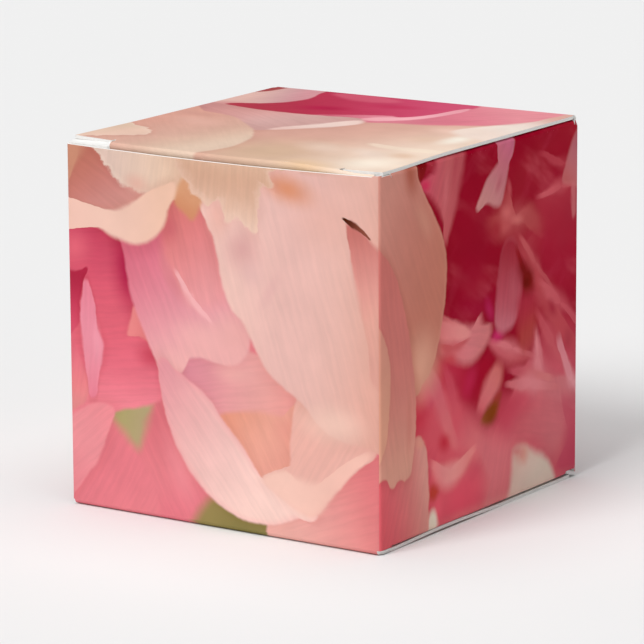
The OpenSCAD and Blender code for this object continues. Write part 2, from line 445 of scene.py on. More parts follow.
def right_print():
    art = Print("print_right", (100, 0), "85031d", RIGHT_LIGHT)
    # Out-of-focus crimson and rose behind the petals
    art.blur = 2.0
    art.tint((97, 98), (18, 12), "8e1525", 0.9)
    art.tint((80, 90), (16, 8), "8a1222", 0.8, -10)
    art.tint((90, 68), (30, 30), "94152c", 1.0)
    art.tint((70, 86), (14, 10), "8a1424", 0.9)
    art.tint((46, 57), (18, 8), "8e0a2c", 0.8)
    art.dapple("a02834", 9, 0.5, 0.8, 0.2, -35)
    art.petal([(-6, 48), (20, 46), (34, 42), (44, 30), (60, 26), (80, 42), (106, 34), (106, -8),
        (-6, -8)],
        "b94552 be4c57 bc525d b44e59 aa4150", (10, 30, 100, 15), centre=(45, 8), soft=6.0)
    art.dapple("c45c66", 10, 0.48, 0.75, 0.35, -30)
    art.dapple("a02c42", 8, 0.5, 0.78, 0.35, 40)
    art.tint((46, 77), (18, 22), "870620", 0.9)
    art.tint((45, 65), (12, 10), "8a0423", 0.8)
    art.tint((30, 44), (14, 8), "b43444", 0.9)
    art.tint((19, 33), (8, 8), "b03040", 0.9)
    art.tint((23, 40), (5, 8), "c65266", 0.8, 20)
    art.tint((40, 6), (18, 12), "c6495a", 1.0)
    art.tint((88, 14), (12, 12), "b46266", 0.9)
    art.tint((99, 8), (6, 22), "a63a4e", 0.9)
    art.tint((66, 24), (14, 8), "ab3849", 1.0, -25)
    art.tint((90, 42), (16, 10), "a2303f", 0.9)
    art.petal([(33, 46), (42, 44.6), (50, 43.6), (57, 43), (58, 37), (54, 33), (47, 30), (40, 33),
        (35, 39)],
        "ab2a40 9a0c2a 8f0621", (36, 42, 51, 37), soft=3.2)
    art.tint((44, 38), (5, 8), "a82042", 0.8, -30)
    # Brownish star of filaments and the streaks that leave it
    art.petal([(54, 79), (58, 81), (61, 85), (64, 84.6), (64, 80), (69, 79.6), (76, 79), (82, 74),
        (78, 71.6), (72, 74), (66, 74), (58, 74)],
        "a03c3c b15355 a44646 9c3a3e", (56, 80, 80, 73), soft=2.6, strength=0.9)
    art.tint((62, 80), (5, 3), "b85c5c", 0.8, -20)
    art.tint((67.5, 77), (5, 2), "bb6260", 0.8, -12)
    art.tint((63.6, 86), (1.6, 4), "ac484e", 0.8, 20)
    art.tint((57, 76), (4, 4), "93202c", 0.7)
    art.petal([(66, 74), (72, 71), (78, 71.6), (76, 66), (68, 66)],
        "9c343c", soft=3.0, strength=0.7)
    art.petal([(78, 80.6), (86, 82.4), (94, 83.4), (106, 82), (106, 70), (92, 66), (84, 70)],
        "a43440 982434 941a2e", (88, 83, 88, 70), soft=1.5, strength=0.8)
    art.petal([(78, 80.2), (86, 82.8), (94, 83.6), (106, 82), (94, 81.2), (86, 80.6)],
        "b8525a b04850", (80, 81, 100, 82), soft=1.3, strength=0.9)
    art.petal([(80, 93), (88, 90.4), (98, 87), (106, 84), (96, 86), (86, 88.6)],
        "a83c48 ac444c", (82, 92, 98, 86), soft=1.4, strength=0.7)
    art.petal([(68, 73), (74, 68), (82, 58.6), (90, 49), (100, 37), (92, 40), (83, 48), (76, 58)],
        "9d343c ae484d a43c45", (70, 70, 96, 38), soft=2.2, strength=0.85)
    art.petal([(69, 72.6), (75, 68), (81, 61), (86, 55), (80, 60), (74, 66)],
        "b05054 aa484e", (70, 72, 84, 57), soft=1.2, strength=0.8)
    art.petal([(80, 58), (84, 56.4), (90, 53.4), (98, 47), (104, 41), (96, 46.6), (88, 50.6),
        (83, 53)],
        "b8545c b45058 a84250", (80, 57, 102, 43), soft=1.5, strength=0.85)
    art.petal([(78, 50), (84, 46), (91, 38), (98, 28), (90, 34), (83, 41)],
        "b04650 b5555c aa4450", (79, 48, 96, 30), soft=1.7, strength=0.8)
    art.tint((86, 50), (5, 3), "8f1c30", 0.7, -40)
    art.tint((95, 40), (4, 5), "93303c", 0.7)
    art.petal([(74, 28), (75.6, 36), (78, 45.4), (80.4, 41), (82.4, 35), (86, 31), (94, 29.6),
        (104, 26), (104, 17), (92, 22), (82, 25)],
        "c06870 bb6069 b8686c ba7478", (78, 44, 100, 22), centre=(82, 29), soft=1.9, strength=0.9,
        veins=-70)
    art.petal([(77, 33), (77.4, 39), (78.2, 44.6), (80, 38), (81, 33)],
        "c6747a", soft=1.1, strength=0.8)
    art.petal([(89, 42), (92, 34), (96, 26.6), (106, 19), (106, 22), (100, 26), (95.4, 34),
        (91, 41)],
        "c8888e bf767e", (98, 24, 90, 41), centre=(97, 27.6), soft=1.1, strength=0.8)
    art.petal([(53, 47), (60, 46), (68, 43), (76, 38.6), (70, 37.6), (62, 39)],
        "bc5a64 ba585e ae4850", (54, 46, 74, 38), soft=1.4, strength=0.9)
    art.petal([(56, 46.6), (63, 44.6), (70, 41.6), (76, 38.4), (68, 40.6), (60, 43.6)],
        "c56e74", soft=1.6, strength=0.7)
    art.petal([(64, 36.6), (70, 37), (78, 34.4), (88, 29.6), (80, 31), (70, 33.6)],
        "ac4050 b85c62 bf7170", (64, 36, 86, 30), soft=1.2, strength=0.9)
    art.petal([(62, 33), (68, 34), (74, 33.6), (80, 31), (90, 27), (80, 28), (70, 30)],
        "ba5a62 c67c80 b86265", (63, 33, 88, 28), soft=1.1, strength=0.9)
    art.petal([(60, 30), (66, 29), (74, 27.6), (70, 23), (64, 18), (58, 22)],
        "a83444 b04050 b8505c", (62, 29, 68, 20), soft=2.0, strength=0.8)
    art.petal([(68, 22), (80, 25.6), (94, 24), (96, 14), (86, 12), (74, 15), (66, 17)],
        "b8565e bb646a b45c64", (70, 20, 94, 20), soft=2.4, strength=0.8, veins=-15)
    art.petal([(92, 24), (94.6, 18), (93, 10), (89, 4), (96, 0), (106, 0), (106, 20)],
        "ab4856 a83c50", (94, 22, 100, 4), soft=1.6, strength=0.8)
    # Petals that come out from behind the large ones
    art.blur = 1.7
    art.petal([(29, 58), (35, 56.4), (42, 53.4), (46, 53), (49, 54.6), (50, 52.4), (54.6, 50.6),
        (52, 46), (45, 43), (36, 45), (29, 49)],
        "b85c5c c0646a c47074 bd6b6d", (30, 52, 50, 48), centre=(42, 49.6), soft=1.1,
        shade=(0.3, 2), veins=-15, vein_depth=0.04)
    art.petal([(29, 57), (34, 56), (41, 53.6), (44, 50.6), (37, 50.6), (29, 52.6)],
        "c67272 cb7f7c", (30, 54, 42, 52), soft=0.9, strength=0.9)
    art.petal([(29, 51), (36, 49.6), (43, 50), (38, 47.6), (32, 47.6)],
        "ae4448", soft=1.2, strength=0.7)
    art.tint((34, 46), (6, 2.4), "b23c44", 0.8, -14)
    art.tint((58, 47.6), (5, 3), "b3285a", 1.0)
    art.tint((53.6, 55), (3, 6), "a01c48", 0.9, 30)
    art.petal([(56.4, 54), (58, 62), (59, 68), (62, 72), (66, 72), (69, 67), (70.6, 60),
        (69, 52.6), (66, 48.6), (61, 47.6), (57, 49.6)],
        "90202e 97303c a0404c a94c58 b56872", (65, 72, 60, 48), soft=0.8,
        rim=("b0606a", 0.6, 0.4), veins=84, vein_depth=0.045)
    art.tint((66, 58), (4, 9), "a8505a", 0.5, 10)
    art.petal([(67, 70), (71, 65.4), (75.6, 61.6), (76.4, 57), (72.6, 55.6), (70, 61)],
        "8a1620 650a06 741410", (68, 68, 74.6, 58), soft=1.5)
    art.tint((73, 59), (3, 2.6), "5e0a02", 0.8)
    art.petal([(68, 54), (71, 56), (76, 55), (78, 49), (76, 41), (71, 38.6), (68.6, 46)],
        "a02c3c a4303e a8483c a8424a", (70, 55, 75, 40), soft=1.5, strength=0.7, veins=80)
    art.petal([(48, 29), (50, 33), (53, 37), (57, 40), (60, 38.4), (59, 33.6), (55, 29.6),
        (51, 27.6)],
        "b8525a c0686a bc625e", (48, 30, 58, 38), soft=1.3)
    art.petal([(49.6, 25.4), (52.4, 28.4), (56, 30), (59, 31), (57.6, 26), (54, 23.6)],
        "8f4a2a 6c3006 7c3a10", (49, 25, 58, 28), soft=1.1)
    art.tint((58, 30.6), (3.4, 2.4), "92302c", 0.9, 30)
    art.petal([(22, 45), (26, 44.6), (31, 37), (35, 29), (38, 22), (34, 22.6), (28, 31)],
        "c25a68 bd5a62 c46a6c", (24, 43, 36, 23), soft=1.4, strength=0.9)
    art.petal([(31, 44), (35, 41), (39, 33), (42, 24), (38, 27), (34, 35)],
        "b44050 bc505a", (32, 43, 41, 26), soft=1.4, strength=0.8)
    art.tint((31, 23.5), (5, 4), "ae2c3a", 1.0, -20)
    art.petal([(38, 32), (44, 30), (50, 22), (48, 16), (42, 19), (36, 23)],
        "bb4654 c05f66 c46a6c", (42, 32, 50, 20), soft=2.2, strength=0.8)
    art.petal([(25, 19.6), (27, 14.6), (30, 11.8), (35, 11), (41, 13.6), (47, 20), (38, 17.4),
        (31, 17.6)],
        "c86e70 ce8884 c8716f", (27, 17, 43, 17), centre=(34, 14.6), soft=1.4)
    art.tint((28, 6), (4, 5), "cc5262", 0.8)
    art.petal([(48, 20), (54, 21), (62, 18), (66, 14), (65, -8), (50, -8), (52, 8)],
        "c2666c c46e72 bc6568", (54, 19, 60, 2), soft=2.6, strength=0.8, veins=70)
    art.petal([(64, -8), (65, 7), (66.6, 14), (72, 14.2), (77, 12), (82, 9.4), (87, 4), (90, -8)],
        "bd9a8e c0a69a bdac9e", (67, 13, 76, 3), soft=1.1)
    art.petal([(66, 14.4), (70, 15), (74, 12.6), (72, 10), (68, 12)],
        "b87470 bc8478", (67, 14, 73, 11), soft=1.4)
    art.petal([(20, -8), (22.4, 3), (25, 6.6), (27.6, 4), (28, -8)], "cbbfae", soft=0.9)
    art.petal([(23.6, 10.6), (24.6, 13.4), (26.6, 13.2), (28.6, 11), (26, 9.4)], "a8382e", soft=0.9)
    # Curl at the top and the sliver at the right
    art.petal([(18, 93), (24, 95.4), (27, 97), (30, 108), (44, 108), (41, 96), (37, 85),
        (33, 77.6), (31.6, 77), (30, 84), (24, 90)],
        "b84058 b4505a b2585a a23c48", (20, 94, 41, 90), centre=(32, 93), soft=1.1, veins=62,
        vein_depth=0.04)
    art.tint((22, 93), (4, 2.4), "bc2c50", 0.9)
    art.tint((37, 97), (2.4, 12), "a4404a", 0.7, -12)
    art.tint((32, 90), (2, 9), "bc646a", 0.5, -10)
    art.petal([(57, 108), (60.6, 99), (59.6, 94.6), (54, 91.4), (50, 88), (47, 82.8), (52, 83.8),
        (56, 82.4), (59.4, 83), (61.6, 88), (63.4, 92.6), (66, 96), (66.4, 108)],
        "b45e78 b4606c b07074 b87c78", (63, 100, 50, 84), centre=(58.5, 89.5), soft=0.6,
        rim=("bd8084", 0.6, 0.7), veins=50, vein_depth=0.045)
    art.tint((58, 88), (2, 4), "a2525c", 0.7, -30)
    art.petal([(91.4, 83.4), (93.4, 88), (96, 92.6), (100, 97), (106, 100), (106, 80), (97, 81.6)],
        "ab5251 a8646a 9c4c58", (92, 84, 101, 94), soft=0.7, rim=("b87a78", 0.6, 0.7))
    art.petal([(96, 81), (98, 82), (98.4, 74), (96.6, 73)], "b06064", soft=0.7, strength=0.8)
    # Large petals that come round from the front
    art.blur = 1.0
    art.petal([(15, 108), (24, 108), (22.6, 98), (20, 94.6), (17, 97)],
        "5e0208 7a1014", (19, 102, 20, 95), soft=0.7)
    art.petal([(16, 28), (20.6, 26), (22.8, 22), (23.6, 15), (23.4, 8), (20.4, -8), (-8, -8),
        (-8, 24)],
        "bf5058 bd5a60 b96c68 c38b80", (0, 10, 24, 13), soft=0.6, shade=(0.3, 2), veins=70)
    art.tint((19, 26), (4, 2.4), "c08272", 0.8, -30)
    art.petal([(-8, 108), (15.6, 108), (17.6, 98), (21, 91.8), (26, 85), (30.4, 79), (32.6, 72),
        (32.4, 66), (30.8, 59), (29, 52.6), (26, 46.6), (22.6, 43), (19, 41.2), (16.4, 39.4),
        (-8, 44)],
        "b97f73 b47468 b06e60 ac6a5a", (0, 90, 30, 70), centre=(12, 70), soft=0.45,
        rim=("be8876", 0.9, 0.5), shade=(0.4, 2.0), veins=-62, vein_depth=0.025)
    art.tint((20, 47), (13, 14), "c08a76", 1.0)
    art.tint((15, 97), (5, 9), "985040", 0.9, 14)
    art.tint((21, 84), (4, 9), "b8806e", 0.6, 36)
    art.petal([(-8, 82), (0, 79.4), (5, 75.4), (9.4, 69), (12.6, 61), (14.8, 53), (16.4, 45),
        (17.2, 36), (17, 29), (15.6, 21), (13.4, 17.6), (11, 17.4), (9, 18.2), (7, 16.8),
        (4.6, 17.6), (2.6, 19.8), (-8, 22)],
        "b4655f b56862 b56b64 ba776c bf8a79", (4, 74, 9, 20), centre=(4, 45), soft=0.5,
        shade=(0.5, 1.6), veins=-80, vein_depth=0.035)
    art.tint((14, 34), (2.2, 14), "b06a60", 0.7, 0)
    art.petal([(-8, 66), (0, 60), (4, 53), (5, 45), (4.4, 35), (2, 27), (-8, 20)],
        "b98070 bf8a74", (2, 58, 2, 30), soft=0.6, strength=0.9, shade=(0.3, 1.2))
    # Painted light: a faint lighter band along the bottom of the face, offsetting the shade that
    # falls where the dust crease turns in below it
    art.tint((60, 0), (62, 5), "d59a90", 0.3)
    return art.finish()


def lid_print():
    art = Print("print_lid", (0, 100), "dcab9b", LID_LIGHT)
    # Peach and cream ground, brightening to the right
    art.petal([(30, 108), (30, -40), (110, -40), (110, 108)],
        "d6a596 dba99a e2b7a5 edcfbc f3ddca", (48, 60, 98, 38), centre=(70, 40), soft=4.0)
    art.tint((58, 14), (30, 30), "d6b499", 0.95)
    art.tint((68, 27), (16, 9), "e8cbb9", 0.9, -25)
    art.tint((82, 27), (12, 6), "ecd5c6", 0.8, -30)
    art.tint((76, 5), (14, 10), "e6c19c", 0.9)
    art.tint((90, 17), (12, 11), "fbecdb", 1.0, 25)
    art.tint((92, 29), (7, 5), "e6c2a8", 0.8)
    art.petal([(75, 39.4), (84, 38.6), (98, 40), (98, 36), (86, 34.6), (77, 36)],
        "f5dcc8 f4e0cc", (78, 38, 94, 38), soft=1.8, strength=0.9)
    art.tint((84, 52), (8, 8), "e6c3ab", 0.6)
    art.tint((92, 56), (6, 12), "faf2e4", 0.9)
    art.tint((83, 66), (9, 6), "f2ccbc", 0.7)
    art.petal([(-8, 92), (3, 97), (6, 108), (24, 108), (22, 92), (19, 81), (12, 74.6), (6, 69),
        (-8, 60)],
        "e6bbb0 deb3ac d3a3a5 db989f", (2, 84, 18, 90), soft=1.0, veins=70)
    art.tint((4, 71), (9, 5), "d2908f", 0.8, 30)
    art.petal([(-8, 90), (0, 91), (3.4, 96), (4, 108), (-8, 108)], "a84a4c", soft=0.8)
    art.petal([(54, 66), (62, 68.6), (72, 70.6), (80, 74), (88, 79), (94, 87), (99, 108),
        (58, 108), (50, 80)],
        "e08794 df7c8d e78796 ee9aa2", (62, 71, 88, 94), soft=1.8, veins=50, vein_depth=0.045)
    art.petal([(84, 66), (87, 76), (92, 84), (95.4, 92), (97, 108), (106, 108), (106, 62),
        (94, 60)],
        "f2dbce f6e9de e8cfc6 dda598", (88, 72, 98, 98), soft=2.2)
    art.petal([(5, 69.6), (9, 73), (14, 76.6), (18.2, 82), (20.4, 90), (21, 108), (64, 108),
        (70, 95), (67, 84), (60, 76), (50, 71), (40, 67.6), (28, 66.4), (14, 67)],
        "b8404f b93750 c43d5b cf4a6c d85a7a", (12, 70, 64, 98), soft=0.9, veins=18,
        vein_depth=0.04)
    art.tint((33, 79), (12, 6), "b4244a", 0.9, 12)
    art.petal([(22, 101), (34, 103), (46, 99), (40, 94), (30, 95)],
        "dc6a80", soft=2.4, strength=0.6)
    art.tint((49, 91), (12, 5), "c43459", 0.7, 14)
    art.petal([(37, 67.6), (44, 72.6), (50, 76), (57, 78), (58, 70)],
        "cc6478 df7f90 e995a3", (40, 69, 55, 75), soft=1.2, strength=0.95)
    art.petal([(51, 69), (54, 74.6), (59, 77), (63, 82), (65.6, 89), (68.6, 99), (70.4, 94),
        (68, 84), (64, 75.6), (57, 69)],
        "f2adb4 fcbec6 eba0aa", (54, 72, 68, 92), centre=(64, 80), soft=1.0, strength=0.95)
    art.petal([(-8, 70), (5, 69.6), (20, 67.4), (40, 68.2), (50, 70), (54.8, 63), (50.6, 54),
        (43, 47), (34, 39), (20, 44), (-8, 52)],
        "cc8f8c d89d97 e1a9a4 dbb0ab d0a39d", (3, 62, 36, 45), soft=0.8, shade=(0.2, 2.5),
        veins=-30)
    art.petal([(40, 49), (45, 56), (51.6, 67), (55.2, 63), (52, 56), (46.6, 49.6), (39, 42.6)],
        "e4bcb3 f5ddd3 efd0c6", (40, 45, 53, 64), soft=1.5, strength=0.95)
    art.petal([(-8, 58.6), (8, 57), (15, 55.6), (22, 52), (30, 45), (37, 37.6), (41, 30.6),
        (43.8, 21), (44.2, 14), (43.2, 8), (41, 0), (40, -8), (39, -40), (-8, -40)],
        "e0a595 dcaa9a ddae9e e1bca7 e8cdb8", (2, 36, 41, 24), centre=(12, 18), soft=0.7,
        shade=(0.2, 2.5), veins=-50, vein_depth=0.025)
    art.tint((14, 43), (16, 8), "e4b2a3", 0.8, -20)
    art.tint((4, 53), (16, 5), "d39d90", 0.7, -6)
    art.petal([(-8, 33), (1, 31), (4, 28.6), (9, 26.6), (13, 23), (15, 18), (12, 15), (8, 12),
        (4, 8.4), (0.5, 5.4), (-8, -2)],
        "ecc8b5 e0c2ac", (10, 22, 0, 26), soft=0.5, rim=("f0d6c6", 1.2, 0.7), shade=(0.35, 1.6),
        frill=True)
    return art.finish()


def plain_material(name, scale, detail, dark, light, roughness, specular=0.5, bump=0, depth=0):
    """A surface without print, clouded between two colours by noise that also embosses it."""
    material, tree, shader = new_material(name)
    place = add(tree, "TexCoord", {}).outputs["Object"]
    cloud = noise(tree, place, scale, detail)["Fac"]
    ramp = add(tree, "ValToRGB", {"Fac": cloud})
    for stop, colour in zip(ramp.color_ramp.elements, (dark, light)):
        stop.color = (*colour, 1)
    tree.links.new(ramp.outputs["Color"], shader.inputs["Base Color"])
    if bump:
        emboss(tree, shader, cloud, bump, depth)
    shader.inputs["Roughness"].default_value = roughness
    shader.inputs["Specular IOR Level"].default_value = specular
    return material


PRINT_FRONT = front_print()
PRINT_RIGHT = right_print()
PRINT_LID = lid_print()
# Unprinted face of the card: warm white, with a faint cloud of fibres
WHITE = plain_material(
    "card_white", 900, 4, (0.74, 0.73, 0.71), (0.82, 0.81, 0.79), 0.62,
    specular=0.3, bump=0.15, depth=0.00003)
# Cut edge of the card: white board, a little uneven
EDGE = plain_material(
    "card_edge", 2600, 3, (0.78, 0.76, 0.73), (0.9, 0.885, 0.865), 0.75,
    bump=0.3, depth=0.00004)
# Thin film of dried adhesive
GLUE = plain_material("dried_glue", 400, 2, (0.74, 0.69, 0.56), (0.84, 0.8, 0.69), 0.3)


# ------------------------------------------------------------------ the card
class Line:
    """The printed face in cross-section: straight runs and left-hand bends, print on the right."""

    def __init__(self, start, heading):
        self.point = Vector(start)
        self.heading = heading
        self.legs = []
        self.length = 0.0

    def ahead(self, distance):
        self.legs.append((self.length, distance, self.point.copy(), self.heading, None))
        self.point += distance * toward(self.heading)
        self.length += distance
        return self

    def bend(self, degrees, radius):
        centre = self.point + radius * toward(self.heading + 90)
        distance = radius * math.radians(degrees)
        self.legs.append((self.length, distance, centre, self.heading, radius))
        self.heading += degrees
        self.point = centre + radius * toward(self.heading - 90)
        self.length += distance
        return self

    def at(self, distance, depth):
        """Point at a distance along the walk and a depth below the printed face."""
        leg = self.legs[0]
        for candidate in self.legs:
            if distance >= candidate[0] - 1e-9:
                leg = candidate
        begins, _, origin, heading, radius = leg
        past = distance - begins
        if radius is None:
            return origin + past * toward(heading) + depth * toward(heading + 90)
        return origin + (radius - depth) * toward(heading - 90 + math.degrees(past / radius))

    def cuts(self, spacing=3.0):
        """Where the card is divided: each 10 degrees of a bend, and evenly on the straight."""
        places = []
        for begins, distance, _, _, radius in self.legs:
            if radius is None:
                count = max(1, round(distance / spacing))
            else:
                count = max(2, round(math.degrees(distance / radius) / 10))
            places += [begins + distance * i / count for i in range(count)]
        return places[1:]


def spaced(low, high, spacing=3.0):
    count = max(1, round((high - low) / spacing))
    return [low + (high - low) * i / count for i in range(1, count)]


def arc(centre, radius, first, last, steps=8):
    """Points on an arc, angles in degrees."""
    turns = [first + (last - first) * i / steps for i in range(steps + 1)]
    return [Vector(centre) + radius * toward(turn) for turn in turns]


def card_piece(name, outline, line, place, sheet_at, print_at, cross_cuts):
    """A solid of card. The outline is flat: distance along the line, and position across it."""
    mesh = bmesh.new()
    top = mesh.faces.new([mesh.verts.new((a, b, 0)) for a, b in outline])
    pushed = bmesh.ops.extrude_face_region(mesh, geom=[top])["geom"]
    for item in pushed:
        if isinstance(item, bmesh.types.BMVert):
            item.co.z = CARD
    planes = [((cut, 0, 0), (1, 0, 0)) for cut in line.cuts()]
    planes += [((0, cut, 0), (0, 1, 0)) for cut in cross_cuts]
    for point, normal in planes:
        everything = mesh.verts[:] + mesh.edges[:] + mesh.faces[:]
        bmesh.ops.bisect_plane(mesh, geom=everything, plane_co=point, plane_no=normal)
    sheet = mesh.verts.layers.float_vector.new("sheet")
    slots = []
    for face in mesh.faces:
        middle = face.calc_center_median()
        face.normal_update()
        if abs(face.normal.z) < 0.5:
            material = EDGE
        elif middle.z > CARD / 2:
            material = WHITE
        else:
            material = print_at(*sheet_at(middle.x, middle.y))
        if material not in slots:
            slots.append(material)
        face.material_index = slots.index(material)
        face.smooth = True
    for vertex in mesh.verts:
        a, b, depth = vertex.co
        vertex[sheet] = (*sheet_at(a, b), 0)
        vertex.co = place(line.at(a, depth), b) * MM
    bmesh.ops.recalc_face_normals(mesh, faces=mesh.faces[:])
    data = bpy.data.meshes.new(name)
    mesh.to_mesh(data)
    mesh.free()
    for material in slots:
        data.materials.append(material)
    data.set_sharp_from_angle(angle=math.radians(40))
    piece = bpy.data.objects.new(name, data)
    bpy.context.scene.collection.objects.link(piece)
    return piece


def rectangle(line, low, high):
    return [(0, low), (line.length, low), (line.length, high), (0, high)]


def wall_print(u, v):
    """Front art on the front and left walls, right art on the right and back walls."""
    return PRINT_FRONT if u < 100 else PRINT_RIGHT


def unprinted(u, v):
    return WHITE


def unprinted_sheet(a, b):
    return (a, b)


def eased(value, start, stop):
    """0 up to start, rising smoothly to 1 at stop, which may be the lower one."""
    share = min(1.0, max(0.0, (value - start) / (stop - start)))
    return share * share * (3 - 2 * share)


def rise(x):
    """How much taller than a true cube the box stands: more at the right than at the left."""
    return LEFT_RISE + (RIGHT_RISE - LEFT_RISE) * (x + HALF) / SIDE


def upright(section, height):
    """A place on a wall, which is taller than a true cube's by what is added to its upper part."""
    taller = rise(section.x) * eased(height, 20.1, 50.1)
    return Vector((section.x, section.y, height + taller))


def wall_sheet(side, y, z):
    """Place in the artwork of a point on a side wall; side is 1 for right and -1 for left."""
    along = 100 * (y + HALF) / SIDE
    return (along + 100 if side > 0 else min(along, 99.4), 100 * z / SIDE)


def side_outline(run, forwards):
    """A side wall's outline: full height at its ends, lower where a dust flap is creased to it."""
    near = DUST_FRONT - 0.15 + HALF - FOLD
    far = DUST_BACK + 0.15 + HALF - FOLD
    low, high = FOLD, SIDE - 0.3
    front_high = SIDE - 0.8 if forwards else SIDE - FOLD
    outline = [
        (0, low), (near, low), (near, DUST_CREASE_LOW), (far, DUST_CREASE_LOW),
        (far, low + 0.5), (run - 0.1, low + 0.5), (run, low + 1), (run, high - 0.9),
        (far + 0.2, high - 0.4), (far, high - 0.2), (far, DUST_CREASE_HIGH),
        (near, DUST_CREASE_HIGH), (near, front_high), (0, front_high),
    ]
    if forwards:
        return outline
    return [(run - a, b) for a, b in reversed(outline)]


def walls():
    quarter = FOLD * math.pi / 4
    run = SIDE - 2 * FOLD
    face = run + 2 * quarter
    fold_percent = quarter / face * 100
    front = Line((-HALF, -HALF + FOLD), 270).bend(90, FOLD).ahead(run).bend(90, FOLD)
    end = front.length
    right_shoulder = SIDE - 0.6
    bow = [
        (end * share, SIDE - 0.7 - FRONT_BOW * math.sin(math.pi * share) - 0.1 * share)
        for share in (0.97, 0.9, 0.75, 0.6, 0.45, 0.3, 0.15, 0)
    ]
    front_outline = [
        (0, WALL_LOW), (end, WALL_LOW), (end, right_shoulder), (end - 1.1, right_shoulder)]
    back = Line((HALF, HALF - FOLD), 90).bend(90, FOLD)
    back.ahead(HALF + TUCK_FRONT - 2 * FOLD).bend(90, FOLD)
    back_high = WALL_HIGH - CREASE_BEYOND
    back_outline = [
        (0, WALL_LOW), (back.length, WALL_LOW), (back.length, back_high), (0.88, back_high),
        (0.8, WALL_HIGH - 0.5), (0, WALL_HIGH - 0.8),
    ]
    right = Line((HALF, -HALF + FOLD), 90).ahead(run)
    left = Line((-HALF, HALF - FOLD), 270).ahead(run)
    seam = Line((-TUCK_FRONT, HALF - FOLD), 270).ahead(SEAM_REACH)
    seam_outline = [(0, 3.0), (SEAM_REACH, 5.5), (SEAM_REACH, SIDE - 5.5), (0, SIDE - 3.0)]

    def front_sheet(a, b):
        return (abs(a / face * 100 - fold_percent), b / SIDE * 100)

    def back_sheet(a, b):
        return (200 - abs(a / face * 100 - fold_percent), b / SIDE * 100)

    def right_sheet(a, b):
        return wall_sheet(1, a - HALF + FOLD, b)

    def left_sheet(a, b):
        return wall_sheet(-1, HALF - FOLD - a, b)

    for name, node, line, outline, sheet_at in (
        ("front_wall", "front_panel", front, front_outline + bow, front_sheet),
        ("right_wall", "right_panel", right, side_outline(run, True), right_sheet),
        ("back_wall", "back_panel", back, back_outline, back_sheet),
        ("left_wall", "left_panel", left, side_outline(run, False), left_sheet),
        ("glue_flap_card", "glue_flap", seam, seam_outline, unprinted_sheet),
    ):
        plain = node == "glue_flap"
        piece = card_piece(
            name, outline, line, upright, sheet_at, unprinted if plain else wall_print,
            spaced(WALL_LOW, WALL_HIGH))
        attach(piece, "walls")
        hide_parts(node)


def bend_blend(piece, line, place):
    """Bakes a crease's placement into its mesh; the two ends of its line and the way between them
    are found but not used.
    """
    ends = [[place(line.at(a, depth), 0) for depth in (0, CARD)] for a in (0, line.length)]
    starts = (ends[0][0] + ends[0][1]) / 2
    stops = (ends[1][0] + ends[1][1]) / 2
    way = (stops - starts).normalized()
    low = max(p.dot(way) for p in ends[0])
    high = min(p.dot(way) for p in ends[1])
    start = starts + (low - starts.dot(way)) * way
    end = starts + (high - starts.dot(way)) * way
    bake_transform(piece)


